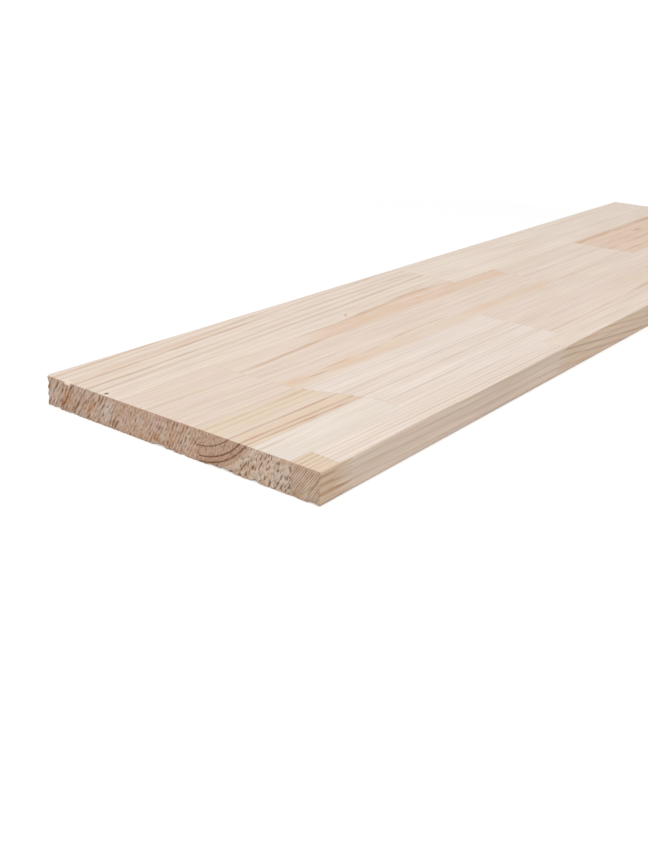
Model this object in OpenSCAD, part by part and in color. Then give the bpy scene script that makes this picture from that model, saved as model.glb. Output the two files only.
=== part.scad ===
// Laminated pine board: blocks of pine are finger-jointed end to end into staves,
// and the staves are glued edge to edge, planed, ripped to width and sawn to length.
// Sizes are in millimetres. X runs along the grain, Y across the staves, Z is up.
// The origin is the middle of the underside.

/* [Board] */
// Length along the grain
board_l = 800; // [300:10:2400]
// Planed thickness
board_t = 18; // [12:1:40]
// Width of the eased arris on the long edges
arris = 0.4; // [0.1:0.1:2]

/* [Staves] */
// Width of a full stave
stave_w = 60.5; // [30:0.5:120]
// Width of the last stave, ripped to finish the board's width
rip_w = 18.5; // [8:0.5:120]

/* [Joint places] */
// Finger joints of the back stave, as distances from the near end
stave_1_joints = [354]; // [20:1:2400]
// Finger joints of the second stave
stave_2_joints = [80, 405, 568]; // [20:1:2400]
// Finger joints of the third stave
stave_3_joints = [90, 287, 612]; // [20:1:2400]
// Finger joints of the ripped stave
stave_4_joints = [18, 258, 548]; // [18:1:2400]

/* [Finger joint] */
// Length of a finger
finger_l = 15; // [6:0.5:20]
// Distance from one finger to the next
finger_pitch = 3.8; // [3:0.1:8]
// Width of a finger's blunt tip
finger_tip = 0.4; // [0.2:0.05:1]
// Air left between a finger's tip and the root that it enters
tip_gap = 0.2; // [0.05:0.05:0.5]

/* [Hidden] */
stave_count = 4;
stave_joints = [stave_1_joints, stave_2_joints, stave_3_joints, stave_4_joints];
// Turn of each joint's fingers about the grain, which slants its line on the planed face
joint_tilts = [[0.3], [-0.25, 0.35, 0.2], [-2.3, 0.15, -0.2], [0.4, -0.3, 0.3]];
// Height of each joint's fingers against the middle of the thickness
joint_lifts = [[0.4], [0.3, 0.9, -0.5], [0.75, 0.2, 0.6], [0.2, 0.5, -0.2]];
// Tone of each block, from pale sapwood to honey-coloured heartwood
pale = "#e8d9cb";
cream = "#e6d6c4";
pink = "#e4d1c1";
honey = "#dfc8b0";
block_tones = [[cream, cream], [pink, honey, pink, honey], [honey, pale, pink, pale], [honey, pale, honey, cream]];

max_tilt = max([for (tilts = joint_tilts) for (tilt = tilts) abs(tilt)]);
max_lift = max([for (lifts = joint_lifts) for (lift = lifts) abs(lift)]);
board_w = (stave_count - 1) * stave_w + rip_w;
// How far a cutting shape runs past the wood that it cuts
overrun = 5;

function stave_width(stave) = stave < stave_count ? stave_w : rip_w;
// The back side of a stave, counted down from the back edge of the board
function stave_back(stave) = board_w / 2 - (stave - 1) * stave_w;
function stave_front(stave) = stave_back(stave) - stave_width(stave);
function stave_middle(stave) = (stave_back(stave) + stave_front(stave)) / 2;
// The joints that fall on the board, so a shorter board has fewer blocks
function joints(stave) = [for (place = stave_joints[stave - 1]) if (place + finger_l < board_l) place];
function block_count(stave) = len(joints(stave)) + 1;
function block_name(stave, block) = str("stave_", stave, "_block_", block);

// One corner of a section, cut at 45 degrees where it is an eased arris of the board
function corner(y, z, along, eased) =
    !eased ? [[y, z]]
    : along ? [[y - sign(y) * arris, z], [y, z + (z > 0 ? -arris : arris)]]
    : [[y, z + (z > 0 ? -arris : arris)], [y - sign(y) * arris, z]];

// Cross-section of a stave in Y and Z, counter-clockwise from its lower front corner
module stave_section(stave) {
    front = stave_front(stave);
    back = stave_back(stave);
    front_eased = stave == stave_count;
    back_eased = stave == 1;
    polygon(concat(
        corner(front, 0, false, front_eased),
        corner(back, 0, true, back_eased),
        corner(back, board_t, false, back_eased),
        corner(front, board_t, true, front_eased)
    ));
}

// The whole stave as one bar, before it is parted into blocks
module stave_bar(stave) {
    translate([-board_l / 2, 0, 0])
        rotate([90, 0, 90])
            linear_extrude(board_l)
                stave_section(stave);
}

// Half the height of a finger, at a distance along the joint from its middle
function finger_half(x) = finger_pitch / 4 - x * (finger_pitch / 2 - finger_tip) / finger_l;

// Everything beyond a joint's zigzag, whose roots are at root_x and whose tips are at tip_x
module beyond_fingers(stave, root_x, tip_x) {
    reach = board_t / 2 + max_lift + stave_width(stave) * sin(max_tilt) + overrun;
    fingers = ceil(reach / finger_pitch);
    zigzag = [
        for (k = [-fingers : fingers])
            for (point = [[root_x, -1], [tip_x, -1], [tip_x, 1], [root_x, 1]])
                [point[0], k * finger_pitch + point[1] * finger_half(point[0])]
    ];
    top = zigzag[len(zigzag) - 1][1];
    rotate([90, 0, 0])
        linear_extrude(stave_width(stave) + 2 * overrun, center = true)
            polygon(concat(zigzag, [[board_l + overrun, top], [board_l + overrun, -top]]));
}

// Moves a joint's shape to its place, as it sat when the board was planed
module at_joint(stave, joint) {
    translate([
        joints(stave)[joint - 1] - board_l / 2,
        stave_middle(stave),
        board_t / 2 + joint_lifts[stave - 1][joint - 1]
    ])
        rotate([joint_tilts[stave - 1][joint - 1], 0, 0])
            children();
}

// One block of a stave, with fingers on each end that meets another block
module block(stave, block) {
    color(block_tones[stave - 1][block - 1])
        difference() {
            if (block == 1) {
                stave_bar(stave);
            } else {
                intersection() {
                    stave_bar(stave);
                    at_joint(stave, block - 1)
                        beyond_fingers(stave, tip_gap - finger_l / 2, finger_l / 2);
                }
            }
            if (block < block_count(stave)) {
                at_joint(stave, block)
                    beyond_fingers(stave, -finger_l / 2, finger_l / 2 - tip_gap);
            }
        }
}

for (stave = [1 : stave_count])
    for (block = [1 : block_count(stave)])
        block(stave, block);
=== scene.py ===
import math

import bmesh
import bpy
from mathutils import Matrix, Vector, noise


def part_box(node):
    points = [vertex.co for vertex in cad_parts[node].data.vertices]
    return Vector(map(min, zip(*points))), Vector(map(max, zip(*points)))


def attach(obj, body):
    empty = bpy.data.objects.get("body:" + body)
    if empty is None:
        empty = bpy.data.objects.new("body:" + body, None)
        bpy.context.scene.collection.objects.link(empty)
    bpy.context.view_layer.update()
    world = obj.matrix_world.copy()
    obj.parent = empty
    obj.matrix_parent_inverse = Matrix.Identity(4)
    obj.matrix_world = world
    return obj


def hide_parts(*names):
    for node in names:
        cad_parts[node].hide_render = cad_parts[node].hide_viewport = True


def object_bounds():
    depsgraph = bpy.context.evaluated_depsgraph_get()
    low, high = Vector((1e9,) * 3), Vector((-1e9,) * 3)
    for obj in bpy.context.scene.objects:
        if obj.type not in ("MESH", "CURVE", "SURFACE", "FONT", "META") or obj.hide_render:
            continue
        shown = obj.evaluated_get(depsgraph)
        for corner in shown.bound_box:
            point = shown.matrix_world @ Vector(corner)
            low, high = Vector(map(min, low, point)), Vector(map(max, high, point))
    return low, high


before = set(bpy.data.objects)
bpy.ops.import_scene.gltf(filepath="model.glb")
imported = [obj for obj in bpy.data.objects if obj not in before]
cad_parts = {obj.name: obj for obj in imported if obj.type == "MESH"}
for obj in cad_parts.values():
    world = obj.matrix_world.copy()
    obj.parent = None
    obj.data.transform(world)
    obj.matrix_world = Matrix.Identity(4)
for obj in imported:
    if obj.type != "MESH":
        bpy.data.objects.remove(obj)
boardLow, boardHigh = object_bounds()
mm = 0.001
boardSize = (boardHigh - boardLow) / mm
scene = bpy.context.scene
scene.view_settings.view_transform = "Standard"
print("frame loaded, board is", [round(side, 1) for side in boardSize], "mm")


# Places on the board are in mm from its near right lower corner:
# x along the grain, y across the staves, z up from the underside.
tones = {  # sRGB, as the colour looks in plain light
    "white": (236, 224, 212), "pale": (237, 222, 210), "cream": (236, 220, 205),
    "pink": (234, 216, 201), "blush": (232, 213, 198), "honey": (231, 212, 190),
    "golden": (227, 206, 183), "amber": (226, 202, 176), "russet": (232, 207, 187),
    "tan": (214, 189, 164), "grey": (210, 188, 170), "copper": (208, 172, 141),
    "taupe": (204, 176, 151), "brown": (196, 160, 127), "orange": (227, 197, 171),
    "chestnut": (196, 157, 133), "bark": (80, 56, 40), "glue": (190, 162, 134),
    "straw": (231, 213, 187), "sawdust": (240, 220, 204), "sawdustGrey": (234, 217, 205),
    "sawdustPale": (251, 236, 221), "sawdustPink": (255, 247, 243), "ripped": (254, 247, 239),
    "rippedWarm": (251, 241, 228), "torn": (130, 92, 68), "rust": (206, 150, 108),
    "rose": (184, 138, 114), "lilac": (220, 184, 172), "ash": (224, 206, 191),
    "fluffAndHighlight": (243, 226, 207),
}


def linear(channel):
    share = channel / 255
    return share / 12.92 if share <= 0.04045 else ((share + 0.055) / 1.055) ** 2.4


def tone(name):
    return (*[linear(channel) for channel in tones[name]], 1)


# Small helpers for node trees and objects
def put(tree, kind, sockets=None, **settings):
    node = tree.nodes.new(kind)
    for key, value in settings.items():
        setattr(node, key, value)
    for key, value in (sockets or {}).items():
        if isinstance(value, bpy.types.NodeSocket):
            tree.links.new(value, node.inputs[key])
        else:
            node.inputs[key].default_value = value
    return node


def calc(tree, operation, *values, clamp=False):
    sockets = dict(enumerate(values))
    return put(tree, "ShaderNodeMath", sockets, operation=operation, use_clamp=clamp).outputs[0]


def minus(tree, value, other):
    return calc(tree, "SUBTRACT", value, other)


def times(tree, product, *others):
    for value in others:
        product = calc(tree, "MULTIPLY", product, value)
    return product


def calcVector(tree, operation, *values):
    return put(tree, "ShaderNodeVectorMath", dict(enumerate(values)), operation=operation).outputs[0]


def lengthOf(tree, vector):
    return put(tree, "ShaderNodeVectorMath", {0: vector}, operation="LENGTH").outputs["Value"]


def partsOf(tree, vector):
    return put(tree, "ShaderNodeSeparateXYZ", {0: vector}).outputs


def ramp(tree, value, fromLow, fromHigh, toLow=0.0, toHigh=1.0):
    sockets = {"Value": value, "From Min": fromLow, "From Max": fromHigh, "To Min": toLow, "To Max": toHigh}
    return put(tree, "ShaderNodeMapRange", sockets, interpolation_type="SMOOTHSTEP").outputs["Result"]


def mixColour(tree, share, under, over, blend="MIX"):
    node = put(tree, "ShaderNodeMix", {0: share, 6: under, 7: over}, data_type="RGBA", blend_type=blend)
    return node.outputs[2]


def stack(tree, colour, layers):
    for share, over in layers:
        colour = mixColour(tree, share, colour, over)
    return colour


def noiseAt(tree, place, stretch, detail=3.0, seed=0.0):
    spot = calcVector(tree, "MULTIPLY", place, stretch)
    sockets = {"Vector": spot, "W": seed, "Scale": 1.0, "Detail": detail, "Roughness": 0.55}
    return put(tree, "ShaderNodeTexNoise", sockets, noise_dimensions="4D").outputs["Fac"]


def newGroup(name, inputs, outputs, treeKind="ShaderNodeTree"):
    group = bpy.data.node_groups.new(name, treeKind)
    for way, sockets in (("INPUT", inputs), ("OUTPUT", outputs)):
        for kind, labels in sockets.items():
            for label in labels:
                group.interface.new_socket(label, in_out=way, socket_type="NodeSocket" + kind)
    return group, group.nodes.new("NodeGroupInput").outputs


def useGroup(tree, group, sockets):
    return put(tree, "ShaderNodeGroup", sockets, node_tree=group).outputs


def clearedTree(owner):
    owner.use_nodes = True
    owner.node_tree.nodes.clear()
    return owner.node_tree


def addObject(name, data):
    made = bpy.data.objects.new(name, data)
    scene.collection.objects.link(made)
    return made


# Growth rings round a pith, cut through anywhere, with fibre and resin along the grain
def makePineGrain():
    inputs = {
        "Vector": ["Place", "Pith", "Drift"], "Color": ["Early", "Late", "Heart"],
        "Float": ["Side", "Heart Radius", "Heart Spacing", "Sap Spacing", "Wander", "Late Share", "Contrast",
                  "Planed Height", "Seed"],
    }
    outputs = {"Color": ["Color"], "Float": ["Rings", "Fibre", "Patch", "Sway", "Heartwood"],
               "Vector": ["Ring Place"]}
    tree, given = newGroup("pineGrain", inputs, outputs)
    place, seed = given["Place"], given["Seed"]
    along = partsOf(tree, place)["X"]
    pith = calcVector(tree, "MULTIPLY_ADD", given["Drift"], along, given["Pith"])
    across = calcVector(tree, "MULTIPLY", calcVector(tree, "SUBTRACT", place, pith), (0, 1, 1))
    radius = lengthOf(tree, across)
    pithPlace = partsOf(tree, pith)

    # Where the ring that passes here meets the planed face
    drop = minus(tree, given["Planed Height"], pithPlace["Z"])
    square = minus(tree, times(tree, radius, radius), times(tree, drop, drop))
    reach = times(tree, calc(tree, "SQRT", calc(tree, "MAXIMUM", square, 0.0)), given["Side"])
    ringY = calc(tree, "ADD", reach, pithPlace["Y"])
    ringPlace = put(tree, "ShaderNodeCombineXYZ", {"X": along, "Y": ringY}).outputs[0]

    # Ring radius with the tree's own unevenness
    sway = minus(tree, noiseAt(tree, place, (0.005, 0.03, 0.03), 2.0, seed), 0.5)
    ripple = minus(tree, noiseAt(tree, place, (0.02, 0.12, 0.12), 2.0, seed), 0.5)
    uneven = calc(tree, "ADD", times(tree, sway, 2.0), times(tree, ripple, 0.5))
    radius = calc(tree, "MULTIPLY_ADD", uneven, given["Wander"], radius)
    inside = calc(tree, "MINIMUM", radius, given["Heart Radius"])
    outside = calc(tree, "MAXIMUM", minus(tree, radius, given["Heart Radius"]), 0.0)
    rings = calc(tree, "ADD", calc(tree, "DIVIDE", inside, given["Heart Spacing"]),
                 calc(tree, "DIVIDE", outside, given["Sap Spacing"]))
    share = calc(tree, "FRACT", rings)
    rise = ramp(tree, share, minus(tree, 1.0, given["Late Share"]), 0.92)
    late = times(tree, rise, ramp(tree, share, 0.94, 1.0, 1.0, 0.0))
    ringNumber = calc(tree, "ADD", calc(tree, "FLOOR", rings), seed)
    chance = put(tree, "ShaderNodeTexWhiteNoise", {"W": ringNumber}, noise_dimensions="1D").outputs["Value"]
    late = times(tree, late, ramp(tree, chance, 0.0, 1.0, 0.25, 1.0))

    # Fibre, blotches and short resin dashes
    fibre = noiseAt(tree, place, (0.02, 1.2, 1.2), 4.0, seed)
    blotch = noiseAt(tree, place, (0.009, 0.05, 0.05), 2.0, calc(tree, "ADD", seed, 9.0))
    dash = ramp(tree, noiseAt(tree, place, (0.05, 1.9, 1.9), 1.0, seed), 0.68, 0.78)
    inHeart = ramp(tree, minus(tree, given["Heart Radius"], radius), -1.0, 1.5)
    colour = mixColour(tree, inHeart, given["Early"], given["Heart"])
    colour = mixColour(tree, times(tree, late, given["Contrast"]), colour, given["Late"])
    line = noiseAt(tree, place, (0.01, 0.4, 0.4), 3.0, calc(tree, "ADD", seed, 5.0))
    shade = times(tree, ramp(tree, fibre, 0.25, 0.75, 0.93, 1.05), ramp(tree, blotch, 0.2, 0.8, 0.965, 1.03),
                  ramp(tree, line, 0.25, 0.75, 0.955, 1.035), ramp(tree, dash, 0.0, 1.0, 1.0, 0.93))
    warmth = noiseAt(tree, place, (0.035, 0.13, 0.13), 2.0, calc(tree, "ADD", seed, 13.0))
    green = times(tree, calc(tree, "POWER", shade, 1.25), ramp(tree, warmth, 0.3, 0.7, 0.991, 1.005))
    blue = times(tree, calc(tree, "POWER", shade, 1.5), ramp(tree, warmth, 0.3, 0.7, 1.014, 0.983))
    shadeColour = put(tree, "ShaderNodeCombineColor", {0: shade, 1: green, 2: blue}).outputs[0]
    put(tree, "NodeGroupOutput", {
        "Color": mixColour(tree, 1.0, colour, shadeColour, "MULTIPLY"), "Rings": late, "Fibre": fibre,
        "Ring Place": ringPlace, "Patch": noiseAt(tree, ringPlace, (0.028, 0.16, 0.0), 3.0, seed),
        "Sway": noiseAt(tree, ringPlace, (0.02, 0.05, 0.0), 2.0, seed), "Heartwood": inHeart,
    })
    return tree


# A stained band or dark line that runs with the rings for part of a block, softer towards the pith
def makeStreakBand():
    inputs = {
        "Vector": ["Ring Place"],
        "Float": ["Fibre", "Patch", "Sway", "Side", "Start", "Level", "Slope", "End", "Half Width", "Fade",
                  "Wobble", "Strength"],
    }
    tree, given = newGroup("streakBand", inputs, {"Float": ["Mask"]})
    here = partsOf(tree, given["Ring Place"])
    run = minus(tree, here["X"], given["Start"])
    middle = calc(tree, "MULTIPLY_ADD", run, given["Slope"], given["Level"])
    sway = minus(tree, given["Sway"], 0.5)
    middle = calc(tree, "MULTIPLY_ADD", sway, given["Wobble"], middle)
    width = times(tree, ramp(tree, given["Patch"], 0.25, 0.75, 0.65, 1.35), given["Half Width"])
    away = calc(tree, "DIVIDE", minus(tree, here["Y"], middle), width)
    outward = times(tree, away, given["Side"])
    band = times(tree, ramp(tree, outward, -1.2, -0.1), ramp(tree, outward, 0.3, 1.1, 1.0, 0.0))
    back = times(tree, given["Fade"], -1.0)
    left = minus(tree, given["End"], here["X"])
    ends = times(tree, ramp(tree, run, back, given["Fade"]), ramp(tree, left, back, given["Fade"]))
    mask = times(tree, band, ends, ramp(tree, given["Fibre"], 0.25, 0.75, 0.6, 1.2),
                 ramp(tree, given["Patch"], 0.3, 0.7, 0.55, 1.25))
    put(tree, "NodeGroupOutput", {"Mask": calc(tree, "MULTIPLY", mask, given["Strength"], clamp=True)})
    return tree


# A knot or dark speck: a ball, or a peg through the board where its height counts for little
def makeDarkSpot():
    inputs = {"Vector": ["Place", "Middle", "Squash"], "Float": ["Radius", "Edge"]}
    tree, given = newGroup("darkSpot", inputs, {"Float": ["Mask"]})
    away = calcVector(tree, "SUBTRACT", given["Place"], given["Middle"])
    away = calcVector(tree, "MULTIPLY", away, given["Squash"])
    ragged = noiseAt(tree, given["Place"], (0.5, 0.9, 0.5), 2.0, 3.0)
    share = calc(tree, "DIVIDE", lengthOf(tree, away), given["Radius"])
    share = calc(tree, "ADD", share, minus(tree, ragged, 0.5))
    put(tree, "NodeGroupOutput", {"Mask": ramp(tree, share, given["Edge"], 1.05, 1.0, 0.0)})
    return tree


# Cut faces: sawn ends are darker, stained and torn, with painted shade in their pits and painted highlight on
# their ridges, ripped edges a little warmer with clearer rings, and painted shade along the lower arris of
# both
def makeCutFaces():
    inputs = {
        "Color": ["Color", "Ripped Tint", "Torn And Shade", "Rust", "Rose", "Fluff And Highlight"], "Vector": ["Place", "Leaning"],
        "Float": ["Rings", "Dark Line", "Fibre", "Pit", "Ridge", "Sawn", "Ripped", "Ring Strength",
                  "Line Strength", "Heartwood"],
    }
    outputs = {"Color": ["Color"], "Float": ["Roughness", "Height"]}
    tree, given = newGroup("cutFaces", inputs, outputs)
    place, leaning, torn = given["Place"], given["Leaning"], given["Torn And Shade"]
    speck = noiseAt(tree, leaning, (0.3, 1.5, 0.6), 3.0, 5.0)
    grit = noiseAt(tree, leaning, (0.3, 1.7, 0.6), 2.0, 12.0)
    gap = noiseAt(tree, place, (0.05, 0.3, 0.3), 2.0, 31.0)
    height = partsOf(tree, place)["Z"]
    lineShare = times(tree, ramp(tree, given["Dark Line"], 0.38, 0.7), given["Line Strength"],
                      ramp(tree, gap, 0.3, 0.5, 0.5, 1.0))
    sawnLayers = (
        (times(tree, given["Heartwood"], 0.5), given["Rose"]),
        # painted highlight on the torn ridges
        (ramp(tree, given["Ridge"], 0.1, 0.9, 0.0, 0.55), given["Fluff And Highlight"]),
        (ramp(tree, grit, 0.47, 0.72, 0.0, 0.6), given["Fluff And Highlight"]),
        (times(tree, given["Rings"], given["Ring Strength"]), torn),
        (lineShare, torn),
        (ramp(tree, speck, 0.46, 0.74, 0.0, 0.62), torn),
        # painted shade in the torn pits
        (ramp(tree, given["Pit"], 0.1, 0.9, 0.0, 0.8), torn),
        (ramp(tree, height, 0.3, 2.0, 0.15, 0.0), torn),  # painted shade along the lower arris
    )
    cut = stack(tree, given["Color"], sawnLayers)
    stain = noiseAt(tree, place, (0.014, 0.16, 0.16), 3.0, 21.0)
    ripLine = ramp(tree, noiseAt(tree, place, (0.012, 0.8, 0.8), 3.0, 27.0), 0.3, 0.7, 0.94, 1.06)
    ripped = mixColour(tree, 1.0, given["Color"], given["Ripped Tint"], "MULTIPLY")
    ripped = put(tree, "ShaderNodeVectorMath", {0: ripped, "Scale": ripLine}, operation="SCALE").outputs[0]
    ripped = stack(tree, ripped, (
        (ramp(tree, stain, 0.45, 0.75, 0.0, 0.18), given["Rust"]),
        (times(tree, given["Rings"], 0.26), torn),
        # painted shade along the lower arris of the ripped edges
        (ramp(tree, height, 0.2, 1.6, 0.25, 0.0), torn),
    ))
    ripped = mixColour(tree, given["Ripped"], given["Color"], ripped)
    planedRough = ramp(tree, given["Fibre"], 0.2, 0.8, 0.5, 0.62)
    rough = calc(tree, "ADD", planedRough, times(tree, given["Sawn"], 0.3))
    relief = calc(tree, "MULTIPLY_ADD", given["Rings"], 0.5, given["Fibre"])
    put(tree, "NodeGroupOutput", {
        "Color": mixColour(tree, given["Sawn"], ripped, cut), "Roughness": rough,
        "Height": calc(tree, "MULTIPLY_ADD", speck, given["Sawn"], relief),
    })
    return tree


pineGrain = makePineGrain()
streakBand = makeStreakBand()
darkSpot = makeDarkSpot()
cutFaces = makeCutFaces()
print("wood node groups made")


# One dictionary for each block, on top of the plain one. pith is the middle of its tree in y and z, drift and
# rise how that moves per mm of x, side which way from the pith the block lies, edge its ripped edge's tint.
# A streak is (start x, y there, slope, end x, half width, strength, tone), read on the planed face.
# A spot is (middle, radius, squash, tone). end is for a sawn end: turn is the lean of its strokes, comb the
# share and pitch of even ones, plain how far it loses the colours of the grain. A stain is
# (y, z, half width, half length, strength, tone), lying with the strokes.
plainBlock = {
    "late": "tan", "lateShare": 0.5, "drift": 0, "rise": 0, "side": 1, "heart": "honey", "heartRadius": 0,
    "heartSpacing": 1, "edge": "ripped", "end": None, "streaks": [], "spots": [],
}
plainEnd = {"plain": 0.2, "lines": 0.5, "pitFloor": 0, "comb": (0, 1), "stains": []}
block11 = {
    **plainBlock, "slot": "pine_cream", "early": "cream", "seed": 1,
    "pith": (73, -61), "drift": 0.055, "spacing": 4.7, "wander": 3, "contrast": 0.75,
    "end": {
        **plainEnd, "tint": "sawdustGrey", "rings": 0.2, "lines": 0.6,
        "turn": 33, "pitch": 1.1, "run": 5, "depth": 0.45, "pits": 1.15, "comb": (0.35, 2.4),
        "stains": [
            (182, 9.5, 3, 12, 0.95, "rust"), (162, 8, 2.8, 9, 0.85, "rust"),
            (149, 10, 5.5, 10, 0.95, "ash"), (153, 9, 1.1, 8, 0.7, "torn"),
            (195, 8, 3.5, 10, 0.7, "ash"), (171, 12, 3.5, 8, 0.7, "lilac"),
            (176.5, 4, 3, 4, 0.8, "rose"), (186.5, 4, 1.2, 5, 0.6, "torn"),
        ],
    },
    "streaks": [
        (-40, 191.1, 0.06, 85, 1.8, 0.6, "copper"), (-40, 172.7, 0.062, 180, 1.9, 0.8, "taupe"),
        (20, 180.9, 0.075, 190, 1.9, 0.55, "taupe"), (-40, 162.2, 0.055, 95, 1.6, 0.8, "taupe"),
        (-20, 170.1, 0.07, 55, 1.3, 0.3, "copper"), (-30, 155.4, 0.045, 90, 1.3, 0.45, "grey"),
        (-5, 147.7, 0.05, 105, 1.4, 0.5, "grey"), (105, 171, 0.065, 240, 1.5, 0.5, "grey"),
        (80, 159.8, 0.07, 220, 1.3, 0.45, "grey"), (105, 157.3, 0.05, 195, 1.3, 0.45, "grey"),
        (155, 161, 0.035, 260, 1.6, 0.65, "grey"), (220, 163, 0.065, 365, 1.7, 0.8, "grey"),
        (190, 178, 0.03, 350, 1.4, 0.5, "grey"), (160, 188.5, 0.055, 330, 1.7, 0.6, "grey"),
        (270, 179.7, 0.02, 365, 1.5, 0.55, "grey"), (280, 185.9, 0.04, 365, 1.5, 0.5, "grey"),
        (170, 153.8, 0.02, 250, 1.3, 0.4, "grey"), (-20, 178, 0.065, 130, 5, 0.4, "orange"),
        (-20, 167, 0.06, 70, 4, 0.3, "orange"), (215, 140, 0.055, 325, 4, 0.85, "orange"),
        (280, 143.2, -0.01, 365, 4, 0.75, "orange"), (150, 139.1, 0.03, 262, 2, 0.55, "copper"),
        (225, 141.7, 0.095, 312, 2.2, 0.65, "copper"), (282, 148.4, -0.05, 362, 2.2, 0.6, "copper"),
    ],
    "spots": [
        # the pale spot at the near top arris is a painted highlight, where the chipped arris faces the
        # overhead lamp
        ((3.2, 151.7, 18), 1.25, (0.75, 1, 1), "bark"), ((0.4, 181.5, 17.6), 2.2, (0.7, 0.65, 1.3), "fluffAndHighlight"),
        ((216.2, 146.6, 18), 1, (0.7, 1, 1), "tan"), ((218.4, 148.3, 18), 1.1, (0.7, 1, 1), "brown"),
        ((220.4, 149.9, 18), 0.9, (0.7, 1, 1), "tan"),
    ],
}
block12 = {
    **plainBlock, "slot": "pine_cream", "early": "cream", "seed": 2,
    "pith": (262, 75), "drift": -0.012, "side": -1, "spacing": 5.5, "wander": 4, "contrast": 0.2,
    "end": {
        **plainEnd, "tint": "sawdust", "rings": 0.4,
        "turn": -35, "pitch": 1.1, "run": 5, "depth": 0.4, "pits": 0.9,
    },
    "streaks": [(420, 158, 0.01, 800, 3, 0.2, "tan"), (600, 176, 0.02, 800, 2, 0.2, "orange")],
}
block21 = {
    **plainBlock, "slot": "pine_pink", "early": "blush", "seed": 3,
    "pith": (16.6, -50), "drift": -0.012, "spacing": 3.4, "wander": 2, "contrast": 0.25,
    "end": {
        **plainEnd, "tint": "sawdust", "rings": 0.1,
        "turn": 26, "pitch": 0.75, "run": 3.6, "depth": 0.38, "pits": 1.15, "comb": (0.35, 2),
        "stains": [
            (110, 11, 4.5, 9, 0.95, "lilac"), (111, 4.5, 4.5, 4.5, 0.95, "rust"),
            (134.5, 9, 4.5, 10, 0.9, "lilac"), (97, 10, 3.5, 9, 0.6, "rust"),
            (122, 11, 3.5, 8, 0.6, "ash"), (88, 9, 3.5, 9, 0.6, "ash"),
        ],
    },
    "streaks": [
        (-30, 117.6, -0.015, 100, 1.3, 0.55, "tan"), (-30, 103.3, -0.014, 100, 1.3, 0.5, "tan"),
        (-30, 90.8, -0.012, 100, 1.3, 0.55, "grey"), (-30, 82.2, -0.01, 100, 1.4, 0.5, "tan"),
        (-30, 130.2, -0.01, 100, 1.6, 0.3, "orange"), (-30, 96.7, -0.01, 100, 1.2, 0.35, "grey"),
    ],
}
block22 = {
    **plainBlock, "slot": "pine_honey", "early": "pink", "seed": 4,
    "pith": (30, -70), "drift": 0.02, "spacing": 4.2, "wander": 3, "contrast": 0.35,
    "streaks": [
        (62, 120.6, 0.035, 138, 1.9, 0.7, "copper"), (108, 122.6, 0.06, 162, 1.8, 0.6, "copper"),
        (138, 124.2, 0.06, 196, 2.2, 0.6, "copper"), (166, 133.5, 0, 430, 10, 0.95, "orange"),
        (172, 129, 0, 430, 3.4, 0.55, "orange"), (258, 128, 0, 290, 1.7, 0.5, "tan"),
        (300, 128, 0, 350, 1.7, 0.45, "tan"),
        (365, 129, 0, 430, 9, 0.5, "orange"), (345, 139.4, 0, 430, 1.6, 0.45, "copper"),
        (50, 86, 0, 430, 9, 0.55, "amber"), (79, 87, 0, 96, 5, 0.75, "orange"),
        (122, 86, 0, 146, 7, 0.65, "orange"), (146, 83, 0, 184, 4.5, 0.6, "orange"),
        (290, 88, -0.01, 352, 5, 0.55, "orange"), (368, 88, 0, 430, 5, 0.65, "orange"),
        (98, 86, 0, 121, 1.2, 0.65, "brown"), (117, 89.6, 0, 141, 1.1, 0.45, "copper"),
        (153, 88.8, 0.02, 178, 1.1, 0.45, "copper"), (197, 94, 0, 227, 1.3, 0.65, "copper"),
        (225, 94.5, 0, 262, 1.2, 0.55, "copper"), (80, 101, 0, 98, 3, 0.55, "straw"),
        (218, 98, 0, 246, 3, 0.55, "straw"), (60, 113.5, 0, 430, 1.4, 0.35, "grey"),
        (60, 107, 0, 430, 1.3, 0.3, "grey"),
    ],
}
block23 = {
    **plainBlock, "slot": "pine_pink", "early": "pink", "late": "grey", "seed": 5,
    "pith": (50, -60), "drift": -0.01, "spacing": 6, "wander": 3, "lateShare": 0.45, "contrast": 0.4,
    "streaks": [(400, y, -0.004, 575, halfWidth, strength, "grey") for y, halfWidth, strength in (
        (122, 1.3, 0.5), (110, 1.2, 0.45), (83.5, 1.3, 0.5), (91, 1.2, 0.4))],
}
block24 = {
    **plainBlock, "slot": "pine_honey", "early": "russet", "late": "copper", "seed": 6,
    "pith": (190, 70), "drift": 0.01, "side": -1, "spacing": 5, "wander": 4, "contrast": 0.5,
    "end": {
        **plainEnd, "tint": "sawdust", "rings": 0.5, "lines": 0.6,
        "turn": -30, "pitch": 1, "run": 3, "depth": 0.4, "pitFloor": 0.05, "pits": 1.2,
    },
    "streaks": [
        (545, 133.8, 0.006, 820, 3.2, 1, "copper"), (540, 124, 0, 820, 4, 0.7, "orange"),
        (600, 121.5, 0, 665, 1.8, 0.5, "copper"), (560, 112, 0.004, 820, 1.8, 0.5, "tan"),
        (545, 102, 0.012, 820, 2.2, 0.6, "copper"), (545, 84, 0.02, 820, 6, 0.6, "orange"),
        (560, 88.5, 0.02, 820, 1.6, 0.6, "copper"),
    ],
    "spots": [
        ((666, 119, 9), 6, (0.35, 1, 0.08), "orange"), ((667, 119, 9), 2.6, (0.3, 1, 0.06), "copper"),
    ],
}
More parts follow.
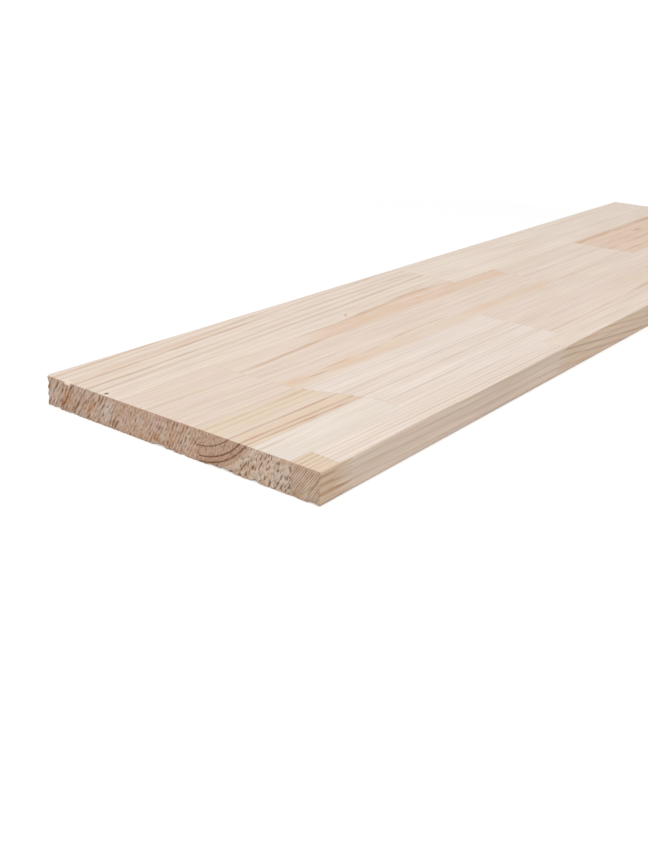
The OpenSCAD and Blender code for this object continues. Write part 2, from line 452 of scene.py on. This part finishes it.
block31 = {
    **plainBlock, "slot": "pine_honey", "early": "white", "seed": 7,
    "pith": (82, 44.2), "side": -1, "heartRadius": 46.8, "heartSpacing": 6.3, "spacing": 2.3,
    "wander": 0.8, "lateShare": 0.4, "contrast": 0.25,
    "end": {
        **plainEnd, "tint": "sawdustPale", "plain": 0.5, "rings": 0.15, "lines": 0.9,
        "turn": 25, "pitch": 0.8, "run": 3.2, "depth": 0.55, "pitFloor": 0.08, "pits": 1.5,
        "stains": [
            (52, 15.5, 3, 4, 0.6, "rose"), (64, 9, 7, 8, 0.3, "lilac"), (26, 9, 5, 9, 0.6, "ash"),
        ],
    },
    "streaks": [
        (-30, 70.5, 0, 130, 5.5, 0.6, "straw"), (-30, 61, 0, 130, 4.5, 0.65, "blush"),
        (-30, 52.4, -0.015, 130, 5.5, 0.55, "orange"), (50, 52, 0, 130, 7, 0.55, "amber"),
        (-30, 75.3, 0, 130, 1.4, 0.5, "copper"), (-30, 70, 0.004, 130, 1.4, 0.4, "copper"),
        (-30, 58.9, -0.01, 130, 1.2, 0.7, "chestnut"), (-30, 51, -0.014, 130, 1.1, 0.85, "chestnut"),
        (-30, 47.3, -0.018, 130, 1.1, 0.9, "chestnut"), (66, 75, 0, 92, 2.2, 0.6, "copper"),
        (-30, 43.7, 0, 130, 0.9, 0.5, "copper"), (-20, 38.4, 0, 20, 0.9, 0.5, "copper"),
    ],
}
block32 = {
    **plainBlock, "slot": "pine_pale", "early": "pale", "late": "grey", "seed": 8,
    "pith": (-40, -30), "drift": -0.012, "spacing": 3, "wander": 1.6, "contrast": 0.45,
    "streaks": [
        (80, 56.5, -0.006, 300, 0.9, 0.55, "grey"), (80, 45, 0, 300, 0.9, 0.6, "grey"),
        (80, 30.5, 0, 300, 0.9, 0.5, "grey"), (150, 55, 0, 172, 4, 0.3, "orange"),
    ],
}
block33 = {
    **plainBlock, "slot": "pine_pink", "early": "pink", "late": "grey", "seed": 9,
    "pith": (-30, -40), "drift": -0.008, "spacing": 2.8, "wander": 2, "contrast": 0.5,
    "streaks": [
        (280, 49, 0, 620, 1, 0.5, "grey"), (280, 24, 0.004, 620, 1.1, 0.6, "tan"),
        (440, 40, 0.05, 620, 9, 0.45, "amber"), (430, 26, 0.02, 620, 2, 0.5, "brown"),
    ],
}
block34 = {
    **plainBlock, "slot": "pine_pale", "early": "cream", "seed": 10,
    "pith": (120, -55), "drift": 0.01, "side": -1, "spacing": 4, "wander": 3, "contrast": 0.45,
    "end": {
        **plainEnd, "tint": "sawdustPale", "plain": 0.5, "rings": 0.4,
        "turn": -25, "pitch": 0.8, "run": 3.2, "depth": 0.5, "pitFloor": 0.08, "pits": 1.5,
    },
    "streaks": [(600, 62, 0.01, 800, 1.2, 0.5, "tan"), (600, 33, 0.01, 800, 3, 0.35, "amber")],
}
block41 = {
    **plainBlock, "slot": "pine_honey", "early": "golden", "late": "brown", "seed": 11,
    "pith": (-61.6, -28), "spacing": 2.52, "wander": 0.5, "lateShare": 0.55, "contrast": 0.6,
    "end": {
        **plainEnd, "tint": "sawdustPink", "plain": 0.65, "rings": 0.15, "lines": 0.25,
        "turn": 34, "pitch": 0.9, "run": 9, "depth": 0.3, "pits": 0.85, "comb": (0.85, 1.15),
    },
    "streaks": [(-25, y, 0, 45, 0.8, strength, "brown") for y, strength in (
        (16.3, 0.5), (12.8, 0.5), (10, 0.5), (-2.1, 0.8), (-5.2, 0.8), (-8.4, 0.9))],
}
block42 = {
    **plainBlock, "slot": "pine_pale", "early": "pale", "seed": 12,
    "pith": (-60.6, -29.1), "drift": -0.0124, "spacing": 2.6, "wander": 1.4, "contrast": 0.85,
}
block43 = {
    **plainBlock, "slot": "pine_honey", "early": "cream", "seed": 13, "edge": "rippedWarm",
    "pith": (-60, 10), "rise": -0.1, "spacing": 2.2, "wander": 1.4, "contrast": 0.6,
}
block44 = {
    **plainBlock, "slot": "pine_cream", "early": "cream", "seed": 14,
    "pith": (70, -30), "drift": 0.005, "side": -1, "spacing": 3.2, "wander": 2, "contrast": 0.6,
    "end": {
        **plainEnd, "tint": "sawdustPink", "plain": 0.65, "rings": 0.4,
        "turn": -40, "pitch": 0.9, "run": 9, "depth": 0.3, "pits": 0.6, "comb": (0.5, 1.15),
    },
}
blocks = {
    "stave_1_block_1": block11, "stave_1_block_2": block12, "stave_2_block_1": block21,
    "stave_2_block_2": block22, "stave_2_block_3": block23, "stave_2_block_4": block24,
    "stave_3_block_1": block31, "stave_3_block_2": block32, "stave_3_block_3": block33,
    "stave_3_block_4": block34, "stave_4_block_1": block41, "stave_4_block_2": block42,
    "stave_4_block_3": block43, "stave_4_block_4": block44,
}

finish = {"streakFade": 24.0, "fadeShare": 0.35, "streakWobble": 2.0, "glueShare": 0.4, "bump": 0.12,
          "bumpDepth": 0.00012, "specular": 0.28, "speckRun": 2.6, "stainEdge": 0.1, "spotEdge": 0.55,
          "darkTones": ("brown", "chestnut", "copper", "taupe")}


def attribute(tree, name):
    return put(tree, "ShaderNodeAttribute", attribute_name=name).outputs["Fac"]


def objectPlace(tree):
    return put(tree, "ShaderNodeTexCoord").outputs["Object"]


def turned(y, z, turn):
    return y * math.cos(turn) + z * math.sin(turn), z * math.cos(turn) - y * math.sin(turn)


# Wood of a sawn end before it is torn: darkened, and stained along the strokes
def endColour(tree, colour, leaning, block, turn):
    end = block["end"]
    colour = mixColour(tree, end["plain"], colour, tone(block["early"]))
    colour = mixColour(tree, 1.0, colour, tone(end["tint"]), "MULTIPLY")
    for toneName, stretch, seed in (("rust", (0.1, 0.25, 0.09), 8.0), ("ash", (0.1, 0.2, 0.08), 17.0)):
        share = ramp(tree, noiseAt(tree, leaning, stretch, 2.0, seed), 0.45, 0.7, 0.0, 0.6)
        colour = mixColour(tree, share, colour, tone(toneName))
    for y, z, halfWidth, halfLength, strength, toneName in end["stains"]:
        middle = (0, *turned(y, z, turn))
        squash = (0.05, 1.0, halfWidth / halfLength)
        mask = useGroup(tree, darkSpot, {
            "Place": leaning, "Middle": middle, "Radius": halfWidth, "Squash": squash,
            "Edge": finish["stainEdge"]})["Mask"]
        colour = mixColour(tree, times(tree, mask, strength), colour, tone(toneName))
    return colour


def pineMaterial(name, block):
    material = bpy.data.materials.new("pine_" + name)
    tree = clearedTree(material)
    corner = [-side / mm for side in boardLow]
    place = put(tree, "ShaderNodeMapping",
                {"Vector": objectPlace(tree), "Location": corner, "Scale": (1 / mm,) * 3}).outputs[0]
    grain = useGroup(tree, pineGrain, {
        "Place": place, "Pith": (0, *block["pith"]), "Drift": (0, block["drift"], block["rise"]),
        "Side": block["side"], "Heart Radius": block["heartRadius"], "Heart Spacing": block["heartSpacing"],
        "Sap Spacing": block["spacing"], "Wander": block["wander"], "Late Share": block["lateShare"],
        "Contrast": block["contrast"], "Early": tone(block["early"]), "Late": tone(block["late"]),
        "Heart": tone(block["heart"]), "Planed Height": boardSize.z, "Seed": block["seed"],
    })
    colour = grain["Color"]
    darkLine = 0.0
    for start, level, slope, end, halfWidth, strength, toneName in block["streaks"]:
        fade = min(finish["streakFade"], finish["fadeShare"] * (end - start))
        mask = useGroup(tree, streakBand, {
            "Ring Place": grain["Ring Place"], "Fibre": grain["Fibre"], "Patch": grain["Patch"],
            "Sway": grain["Sway"], "Side": block["side"], "Start": start, "Level": level, "Slope": slope,
            "End": end, "Half Width": halfWidth, "Fade": fade, "Wobble": finish["streakWobble"],
            "Strength": strength,
        })["Mask"]
        colour = mixColour(tree, mask, colour, tone(toneName))
        if toneName in finish["darkTones"]:
            darkLine = calc(tree, "MAXIMUM", darkLine, mask)
    glueMask = times(tree, attribute(tree, "glueLine"), finish["glueShare"])
    colour = mixColour(tree, glueMask, colour, tone("glue"))
    cut = {
        "Color": colour, "Place": place, "Rings": grain["Rings"], "Fibre": grain["Fibre"],
        "Ripped": attribute(tree, "ripped"), "Ripped Tint": tone(block["edge"]), "Torn And Shade": tone("torn"),
        "Rust": tone("rust"),
    }
    end = block["end"]
    if end:
        turn = math.radians(end["turn"])
        leaning = put(tree, "ShaderNodeMapping", {"Vector": place, "Rotation": (-turn, 0, 0)}).outputs[0]
        sawn = attribute(tree, "sawn")
        cut["Color"] = mixColour(tree, sawn, colour, endColour(tree, colour, leaning, block, turn))
        cut.update({
            "Leaning": calcVector(tree, "MULTIPLY", leaning, (1, 1, finish["speckRun"] / end["run"])),
            "Sawn": sawn, "Dark Line": darkLine, "Pit": attribute(tree, "pit"),
            "Ridge": attribute(tree, "ridge"), "Rose": tone("rose"), "Fluff And Highlight": tone("fluffAndHighlight"),
            "Ring Strength": end["rings"], "Line Strength": end["lines"], "Heartwood": grain["Heartwood"],
        })
    face = useGroup(tree, cutFaces, cut)
    colour = face["Color"]
    for middle, radius, squash, toneName in block["spots"]:
        mask = useGroup(tree, darkSpot, {
            "Place": place, "Middle": middle, "Radius": radius, "Squash": squash,
            "Edge": finish["spotEdge"]})["Mask"]
        colour = mixColour(tree, mask, colour, tone(toneName))
    bump = put(tree, "ShaderNodeBump",
               {"Height": face["Height"], "Strength": finish["bump"], "Distance": finish["bumpDepth"]})
    shader = put(tree, "ShaderNodeBsdfPrincipled", {
        "Base Color": colour, "Roughness": face["Roughness"], "Normal": bump.outputs[0],
        "Specular IOR Level": finish["specular"],
    })
    put(tree, "ShaderNodeOutputMaterial", {"Surface": shader.outputs[0]})
    return material


# The sawn ends: a dense face with torn strokes and pits, and a ragged lower arris
sawnEnd = {
    "reach": 4.0, "rows": (0.4, 0.7, 0.9), "cell": 0.33, "arris": 0.4, "heartTear": 0.5, "heartFade": 3.0,
    "chipHeight": 0.85, "chipLength": 6.0, "chipReach": 3.6, "chipIn": 0.9, "chipSeed": 3.1,
    "chipFloor": 0.03, "chipGain": 1.8, "nickLength": 1.6, "nickShare": 0.5,
    "glueDepth": 0.3, "glueShare": 0.3, "dotPlace": 18.5, "dotReach": 1.2, "dotPitch": 2.0, "dotGain": 3.5,
    "wornReach": 5.0, "wornDepth": 1.1, "wornFoot": 0.5, "wornUneven": 0.8, "wornPitch": 3.0, "wornIn": 0.5,
    "fleckPlace": 181.3, "fleckReach": 3.2, "fleckHeight": 1.4, "fleckDepth": 0.9, "topFade": 1.3,
    "strokes": ((1.0, 1.0, 1.0, 4.0), (0.4, 0.45, 0.3, 0.0), (0.25, 1.9, 1.9, 8.0)),  # share, scales, seed
    "gain": 1.35, "combSway": 4.0, "combReach": 9.0, "ridgeRise": 0.6,
}


def uneven(x, y, z=0.0):
    return noise.noise(Vector((x, y, z)))


def chipAt(y, seed):
    coarse = uneven(y / sawnEnd["chipLength"], seed, 1.7) - sawnEnd["chipFloor"]
    coarse = max(0.0, coarse) * sawnEnd["chipGain"]
    fine = max(0.0, uneven(y / sawnEnd["nickLength"], seed, 8.3)) * sawnEnd["nickShare"]
    return sawnEnd["chipHeight"] * min(1.0, coarse + fine, y / sawnEnd["chipLength"])


def wornAt(y, z):
    near = max(0.0, 1 - (boardSize.y - y) / sawnEnd["wornReach"]) ** 2
    foot = sawnEnd["wornFoot"]
    wave = 1 + sawnEnd["wornUneven"] * uneven(z / sawnEnd["wornPitch"], 2.2)
    return sawnEnd["wornDepth"] * near * (foot + (1 - foot) * z / boardSize.z) * wave


# A chip out of the near top arris
def fleckAt(y, z):
    across = max(0.0, 1 - (abs(y - sawnEnd["fleckPlace"]) / sawnEnd["fleckReach"]) ** 2)
    up = max(0.0, 1 - (boardSize.z - z) / sawnEnd["fleckHeight"])
    return sawnEnd["fleckDepth"] * across * up


# How deep the saw tore at a point of an end, with how much of a pit or a ridge it left; the pit share also
# paints shade into the pits and the ridge share paints highlight onto the ridges
def tornAt(y, z, block, seed):
    end = block["end"]
    across, along = turned(y, z, math.radians(end["turn"]))
    u, v = across / end["pitch"], along / end["run"]
    relief = sum(share * uneven(u * wide, v * tall, seed + shift)
                 for share, wide, tall, shift in sawnEnd["strokes"])
    combShare, combPitch = end["comb"]
    sway = sawnEnd["combSway"] * uneven(y / sawnEnd["combReach"], z / sawnEnd["combReach"], seed)
    comb = math.sin(2 * math.pi * across / combPitch + sway)
    relief = sawnEnd["gain"] * relief * (1 - combShare) + comb * combShare
    if block["heartRadius"]:  # heartwood saws cleaner
        radius = math.hypot(y - block["pith"][0], z - block["pith"][1])
        sapShare = min(1.0, max(0.0, (radius - block["heartRadius"]) / sawnEnd["heartFade"]))
        relief *= sawnEnd["heartTear"] + (1 - sawnEnd["heartTear"]) * sapShare
    relief *= min(1.0, max(0.0, (boardSize.z - z) / sawnEnd["topFade"]))
    relief = min(1.0, max(-1.0, relief))
    ridge = max(0.0, relief)
    pit = min(1.0, max(0.0, -relief - end["pitFloor"]) * end["pits"])
    nearDots = max(0.0, 1 - abs(y - sawnEnd["dotPlace"]) / sawnEnd["dotReach"])
    dots = sawnEnd["dotGain"] * uneven(z / sawnEnd["dotPitch"], 0.4, 5.5)
    pit = max(pit, nearDots * min(1.0, max(0.0, dots)))
    return end["depth"] * (sawnEnd["ridgeRise"] - sawnEnd["ridgeRise"] * ridge + pit), pit, ridge


def gridLines(low, high, edge, cell):
    count = round((high - low - 2 * edge) / cell)
    step = (high - low - 2 * edge) / count
    return [low] + [low + edge + step * index for index in range(count + 1)] + [high]


def splitRim(edge, targets):
    start, stop = edge.verts
    length = (stop.co - start.co).length
    way = (stop.co - start.co) / length
    onEdge = sorted(((point - start.co).dot(way), index) for index, point in enumerate(targets))
    slack = 2e-6
    current = start
    for distance, index in onEdge:
        point = targets[index]
        offEdge = (start.co + way * distance - point).length > slack
        if offEdge or distance < slack or distance > length - slack:
            continue
        share = (point - current.co).length / (stop.co - current.co).length
        newVert = bmesh.utils.edge_split(edge, current, share)[1]
        newVert.co = point
        edge = next(link for link in newVert.link_edges if stop in link.verts)
        current = newVert


def sawOff(bm, side, block, layers):
    endX = boardLow.x if side < 0 else boardHigh.x
    cutX = endX - side * sawnEnd["reach"] * mm
    everything = bm.verts[:] + bm.edges[:] + bm.faces[:]
    bmesh.ops.bisect_plane(bm, geom=everything, plane_co=(cutX, 0, 0), plane_no=(side, 0, 0),
                           clear_outer=True, dist=1e-8)
    rimEdges = [edge for edge in bm.edges if edge.is_boundary]
    rimPoints = [vert.co.copy() for edge in rimEdges for vert in edge.verts]
    lowY, highY = min(p.y for p in rimPoints), max(p.y for p in rimPoints)
    arris, cell = sawnEnd["arris"] * mm, sawnEnd["cell"] * mm
    ys, zs = gridLines(lowY, highY, arris, cell), gridLines(boardLow.z, boardHigh.z, arris, cell)
    lastY, lastZ = len(ys) - 1, len(zs) - 1
    rimOrder = ([(j, 0) for j in range(lastY)] + [(lastY, i) for i in range(lastZ)]
                + [(j, lastZ) for j in range(lastY, 0, -1)] + [(0, i) for i in range(lastZ, 0, -1)])

    def onGlue(j):
        return (j == 0 and lowY - boardLow.y > cell) or (j == lastY and boardHigh.y - highY > cell)

    def flatPlace(j, i):
        y, z = ys[j], zs[i]
        if j in (0, lastY) and i in (0, lastZ) and not onGlue(j):  # middle of the eased arris
            y += arris / 2 if j == 0 else -arris / 2
            z += arris / 2 if i == 0 else -arris / 2
        return y, z

    targets = [Vector((cutX, *flatPlace(j, i))) for j, i in rimOrder]
    for edge in rimEdges:
        splitRim(edge, targets)
    rim = {}
    for vert in {vert for edge in bm.edges if edge.is_boundary for vert in edge.verts}:
        rim[min(range(len(targets)), key=lambda k: (targets[k] - vert.co).length_squared)] = vert

    def measured(j, i):  # mm from the right edge and the underside, the lower chip there and its share
        y, z = flatPlace(j, i)
        fromRight, fromUnder = (y - boardLow.y) / mm, (z - boardLow.z) / mm
        chip = chipAt(fromRight, side * sawnEnd["chipSeed"])
        return fromRight, fromUnder, chip, max(0.0, 1 - fromUnder / sawnEnd["chipReach"])

    def endDepth(j, i):
        fromRight, fromUnder, chip, lowShare = measured(j, i)
        depth, pit, ridge = tornAt(fromRight, fromUnder, block, block["seed"] + side)
        if onGlue(j):
            depth = sawnEnd["glueDepth"]
        depth += chip * lowShare * sawnEnd["chipIn"]
        if side < 0:  # the near back corner is worn round and the top arris has a chip
            depth += sawnEnd["wornIn"] * wornAt(fromRight, fromUnder) + fleckAt(fromRight, fromUnder)
        return depth, pit, ridge

    torn = {(j, i): endDepth(j, i) for j in range(lastY + 1) for i in range(lastZ + 1)}

    def newVert(j, i, share):  # share is 0 at the rim and 1 on the torn face
        y = flatPlace(j, i)[0]
        fromRight, fromUnder, chip, lowShare = measured(j, i)
        height = fromUnder + chip * (lowShare * share) ** 2
        if side < 0:
            y -= wornAt(fromRight, fromUnder) * share ** 2 * mm
        depth, pit, ridge = torn[j, i]
        depth = sawnEnd["reach"] + (depth - sawnEnd["reach"]) * share
        vert = bm.verts.new((endX - side * depth * mm, y, boardLow.z + height * mm))
        vert[layers["pit"]] = pit
        vert[layers["ridge"]] = ridge
        vert[layers["glueSide"]] = float(onGlue(j))
        return vert

    for k, (j, i) in enumerate(rimOrder):
        rim[k][layers["glueSide"]] = float(onGlue(j))
    count = len(rimOrder)
    rows = [[rim[k] for k in range(count)]]
    for share in sawnEnd["rows"]:
        rows.append([newVert(j, i, share) for j, i in rimOrder])
    grid = {(j, i): newVert(j, i, 1.0) for j, i in torn}
    rows.append([grid[key] for key in rimOrder])
    for inner, outer in zip(rows, rows[1:]):
        for k in range(count):
            after = (k + 1) % count
            face = bm.faces.new((inner[k], inner[after], outer[after], outer[k]))
            face[layers["endBand"]] = 1
    for j in range(lastY):
        for i in range(lastZ):
            face = bm.faces.new((grid[j, i], grid[j + 1, i], grid[j + 1, i + 1], grid[j, i + 1]))
            face[layers["sawnFacet"]] = 1
            face[layers["endBand"]] = 1
            face.smooth = True


# Glue lines: a hair-fine groove where a block meets its neighbour on a planed face
glueLine = {"width": 0.3, "edgeWidth": 0.1, "depth": 0.04, "slack": 0.02, "level": 0.99, "mostlyUp": 0.7}


def fromRim(point, axis):
    return min(point[axis] - boardLow[axis], boardHigh[axis] - point[axis])


def depthBelow(face, point):
    return fromRim(point, 2 if abs(face.normal.z) > glueLine["mostlyUp"] else 1) / mm


def scoreGlueLines(bm, layers):
    tiny, level = 0.001, glueLine["level"]
    shown = [face for face in bm.faces
             if max(abs(face.normal.z), abs(face.normal.y)) > level and not face[layers["endBand"]]
             and depthBelow(face, face.calc_center_median()) < tiny]
    nearEnd = (sawnEnd["reach"] + glueLine["slack"]) * mm
    nearArris = (sawnEnd["arris"] + glueLine["slack"]) * mm
    sunk = {}
    for face in shown:
        flat = abs(face.normal.z) > level
        outward = face.normal.copy()
        rim = set(face.verts)
        width = glueLine["width"] if flat else glueLine["edgeWidth"]
        inset = bmesh.ops.inset_individual(bm, faces=[face], thickness=width * mm, use_even_offset=True)
        for strip in inset["faces"]:
            outer = [vert for vert in strip.verts if vert in rim]
            middle = sum((vert.co for vert in outer), Vector()) / len(outer)
            if fromRim(middle, 0) > nearEnd and fromRim(middle, 1 if flat else 2) > nearArris:
                strip[layers["glueRing"]] = 1
                for vert in outer:
                    sunk[vert] = -outward * glueLine["depth"] * mm
    for vert, shift in sunk.items():
        vert.co += shift


# How the solids are taken over: what counts as one point, as flat, as at an end and as a side face
taken = {"weld": 0.002, "flatDegrees": 0.1, "atEnd": 0.1, "sideways": 0.6}


def makeBlock(node, block):
    bm = bmesh.new()
    bm.from_mesh(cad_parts[node].data)
    bmesh.ops.remove_doubles(bm, verts=bm.verts, dist=taken["weld"] * mm)
    flatAngle = math.radians(taken["flatDegrees"])
    bmesh.ops.dissolve_limit(bm, angle_limit=flatAngle, verts=bm.verts, edges=bm.edges)
    kinds = ((bm.faces.layers.int, ("glueRing", "endBand", "sawnFacet")),
             (bm.verts.layers.float, ("pit", "ridge", "glueSide")),
             (bm.loops.layers.float, ("glueLine", "sawn", "ripped")))
    for kind, names in kinds:
        for name in names:
            kind.new(name)
    layers = {name: kind[name] for kind, names in kinds for name in names}
    for face in bm.faces:
        face.smooth = False
    low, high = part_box(node)
    if low.x - boardLow.x < taken["atEnd"] * mm:
        sawOff(bm, -1, block, layers)
    if boardHigh.x - high.x < taken["atEnd"] * mm:
        sawOff(bm, 1, block, layers)
    bmesh.ops.recalc_face_normals(bm, faces=bm.faces)
    scoreGlueLines(bm, layers)
    for face in bm.faces:
        for loop in face.loops:
            if face[layers["glueRing"]]:
                loop[layers["glueLine"]] = min(1.0, depthBelow(face, loop.vert.co) / glueLine["depth"])
            elif face[layers["endBand"]]:
                share = sawnEnd["glueShare"] if face[layers["sawnFacet"]] else 1.0
                loop[layers["glueLine"]] = loop.vert[layers["glueSide"]] * share
            loop[layers["sawn"]] = face[layers["sawnFacet"]]
            loop[layers["ripped"]] = float(abs(face.normal.y) > taken["sideways"])
    mesh = bpy.data.meshes.new("pine_" + node)
    bm.to_mesh(mesh)
    bm.free()
    mesh.materials.append(pineMaterial(node, block))
    piece = addObject("pine_" + node, mesh)
    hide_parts(node)
    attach(piece, "root")
    return piece


pieces = {node: makeBlock(node, block) for node, block in blocks.items()}
faceCount = sum(len(piece.data.polygons) for piece in pieces.values())
print("blocks made:", len(pieces), "with", faceCount, "faces")


# Loose fibres that the saw left standing along the lower arris of both ends
looseFibre = {"perSquareMetre": 260000.0, "length": 1.5, "thickness": 0.16, "tip": 0.02, "smallest": 0.35,
              "lowReach": 1.8, "spread": (0.4, 0.3, 0.5), "floorGap": 0.05, "seed": 11}


def fibreMaterial():
    material = bpy.data.materials.new("loose_pine_fibre")
    tree = clearedTree(material)
    place = put(tree, "ShaderNodeMapping", {"Vector": objectPlace(tree), "Scale": (1 / mm,) * 3}).outputs[0]
    share = ramp(tree, noiseAt(tree, place, (0.2, 0.4, 0.4), 2.0), 0.3, 0.7)
    colour = mixColour(tree, share, tone("brown"), tone("tan"))
    rough = ramp(tree, share, 0.0, 1.0, 0.8, 0.9)
    shader = put(tree, "ShaderNodeBsdfPrincipled", {"Base Color": colour, "Roughness": rough,
                                                    "Specular IOR Level": finish["specular"]})
    put(tree, "ShaderNodeOutputMaterial", {"Surface": shader.outputs[0]})
    return material


def makeFibreTree():
    inputs = {"Geometry": ["Geometry"], "Float": ["Density", "Length", "Thickness", "Low Reach", "Lean"],
              "Int": ["Seed"], "Material": ["Finish"]}
    tree, given = newGroup("looseFibre", inputs, {"Geometry": ["Geometry"]}, "GeometryNodeTree")
    height = partsOf(tree, put(tree, "GeometryNodeInputPosition").outputs[0])["Z"]
    lowShare = ramp(tree, height, 0.0, given["Low Reach"], 1.0, 0.0)
    points = put(tree, "GeometryNodeDistributePointsOnFaces", {
        "Mesh": given["Geometry"], "Density": times(tree, given["Density"], lowShare),
        "Seed": given["Seed"]}, distribute_method="RANDOM").outputs["Points"]
    splinter = put(tree, "GeometryNodeMeshCone", {
        "Vertices": 4, "Radius Top": looseFibre["tip"] * mm, "Radius Bottom": given["Thickness"],
        "Depth": given["Length"]})
    lean = put(tree, "ShaderNodeCombineXYZ", {"Y": given["Lean"]}).outputs[0]
    turn = put(tree, "FunctionNodeRandomValue", {
        0: calcVector(tree, "SUBTRACT", lean, looseFibre["spread"]),
        1: calcVector(tree, "ADD", lean, looseFibre["spread"]),
        "Seed": given["Seed"]}, data_type="FLOAT_VECTOR")
    size = put(tree, "FunctionNodeRandomValue", {
        2: looseFibre["smallest"], 3: 1.0, "Seed": calc(tree, "ADD", given["Seed"], 1.0)}, data_type="FLOAT")
    placed = put(tree, "GeometryNodeInstanceOnPoints", {
        "Points": points, "Instance": splinter.outputs["Mesh"],
        "Rotation": put(tree, "FunctionNodeEulerToRotation", {0: turn.outputs[0]}).outputs[0],
        "Scale": size.outputs[1]}).outputs[0]
    realized = put(tree, "GeometryNodeRealizeInstances", {"Geometry": placed}).outputs[0]
    dressed = put(tree, "GeometryNodeSetMaterial", {"Geometry": realized, "Material": given["Finish"]})
    put(tree, "NodeGroupOutput", {"Geometry": dressed.outputs[0]})
    return tree


def makeFibres(name, side, tree, material):
    bm = bmesh.new()
    for piece in pieces.values():
        bm.from_mesh(piece.data)
    sawn = bm.faces.layers.int["sawnFacet"]
    middle = (boardLow.x + boardHigh.x) / 2
    spare = [face for face in bm.faces
             if not face[sawn] or (face.calc_center_median().x - middle) * side < 0]
    bmesh.ops.delete(bm, geom=spare, context="FACES")
    mesh = bpy.data.meshes.new(name + "_seat")
    bm.to_mesh(mesh)
    bm.free()
    seat = addObject(name + "_seat", mesh)
    modifier = seat.modifiers.new("looseFibre", "NODES")
    modifier.node_group = tree
    values = {
        "Density": looseFibre["perSquareMetre"], "Length": looseFibre["length"] * mm,
        "Thickness": looseFibre["thickness"] * mm, "Low Reach": boardLow.z + looseFibre["lowReach"] * mm,
        "Lean": side * math.pi / 2, "Seed": looseFibre["seed"], "Finish": material,
    }
    for socket in tree.interface.items_tree:
        if socket.in_out == "INPUT" and socket.name in values:
            modifier[socket.identifier] = values[socket.name]
    depsgraph = bpy.context.evaluated_depsgraph_get()
    fibreMesh = bpy.data.meshes.new_from_object(seat.evaluated_get(depsgraph), depsgraph=depsgraph)
    bpy.data.objects.remove(seat)
    for vert in fibreMesh.vertices:
        vert.co.z = max(vert.co.z, boardLow.z + looseFibre["floorGap"] * mm)
    fibreMesh.name = name
    piece = addObject(name, fibreMesh)
    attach(piece, "root")
    return piece


fibreTree = makeFibreTree()
fibreFinish = fibreMaterial()
for name, side in (("loose_fibres_near", -1), ("loose_fibres_far", 1)):
    piece = makeFibres(name, side, fibreTree, fibreFinish)
    print(name, len(piece.data.polygons), "faces")


# Floor, world and lamps
stage = {"floorSize": 60.0, "floorGap": 0.2, "floorTone": 0.62, "floorGlow": 0.47, "farGlow": 1.0,
         "nearReach": 0.4, "farReach": 1.1, "ambient": 0.5}


def seenDirectly(tree):
    path = put(tree, "ShaderNodeLightPath").outputs
    seen = calc(tree, "MAXIMUM", path["Is Camera Ray"], path["Is Glossy Ray"])
    return calc(tree, "MAXIMUM", seen, path["Is Transmission Ray"])


def makeFloor():
    mesh = bpy.data.meshes.new("floor")
    half = stage["floorSize"] / 2
    height = boardLow.z - stage["floorGap"] * mm
    corners = [(x * half, y * half, height) for x, y in ((-1, -1), (1, -1), (1, 1), (-1, 1))]
    mesh.from_pydata(corners, [], [(0, 1, 2, 3)])
    material = bpy.data.materials.new("pale_floor")
    tree = clearedTree(material)
    lit = put(tree, "ShaderNodeBsdfDiffuse", {"Color": (stage["floorTone"],) * 3 + (1,)})
    away = lengthOf(tree, objectPlace(tree))
    shine = ramp(tree, away, stage["nearReach"], stage["farReach"], stage["floorGlow"], stage["farGlow"])
    glow = put(tree, "ShaderNodeEmission", {"Strength": times(tree, seenDirectly(tree), shine)})
    both = put(tree, "ShaderNodeAddShader", {0: lit.outputs[0], 1: glow.outputs[0]})
    put(tree, "ShaderNodeOutputMaterial", {"Surface": both.outputs[0]})
    mesh.materials.append(material)
    floor = addObject("floor", mesh)


def makeWorld():
    world = bpy.data.worlds.new("studio")
    scene.world = world
    tree = clearedTree(world)
    strength = ramp(tree, seenDirectly(tree), 0.0, 1.0, stage["ambient"], 1.0)
    background = put(tree, "ShaderNodeBackground", {"Color": (1, 1, 1, 1), "Strength": strength})
    put(tree, "ShaderNodeOutputWorld", {"Surface": background.outputs[0]})


lamps = {
    "overhead": {"place": (-1.2, -0.5, 2.3), "size": 2.0, "power": 38.0},
    "right": {"place": (-0.2, -2.2, 1.2), "size": 1.4, "power": 2.5},
}


def makeLamp(name, lamp):
    data = bpy.data.lights.new(name, "AREA")
    data.shape = "SQUARE"
    data.size = lamp["size"]
    data.energy = lamp["power"]
    lampObject = addObject(name, data)
    lampObject.location = lamp["place"]
    towards = (boardLow + boardHigh) / 2 - Vector(lamp["place"])
    lampObject.rotation_euler = towards.to_track_quat("-Z", "Y").to_euler()


# The camera stands as the photograph's did
viewpoint = {"place": (-0.7529, -0.3680, 0.2226), "yaw": 37.08, "pitch": 22.56, "roll": 1.88, "lens": 43.59,
             "sensor": 36.0, "clipNear": 0.01, "clipFar": 200}


def makeCamera():
    yaw, pitch, roll = [math.radians(viewpoint[key]) for key in ("yaw", "pitch", "roll")]
    turn = (Matrix.Rotation(yaw - math.pi / 2, 4, "Z") @ Matrix.Rotation(math.pi / 2 - pitch, 4, "X")
            @ Matrix.Rotation(roll, 4, "Z"))
    data = bpy.data.cameras.new("camera")
    data.lens = viewpoint["lens"]
    data.sensor_width = viewpoint["sensor"]
    data.clip_start = viewpoint["clipNear"]
    data.clip_end = viewpoint["clipFar"]
    camera = addObject("camera", data)
    camera.matrix_world = Matrix.Translation(viewpoint["place"]) @ turn
    scene.camera = camera


makeFloor()
makeWorld()
for lampName, lamp in lamps.items():
    makeLamp(lampName, lamp)
makeCamera()
print("stage, lamps and camera placed")
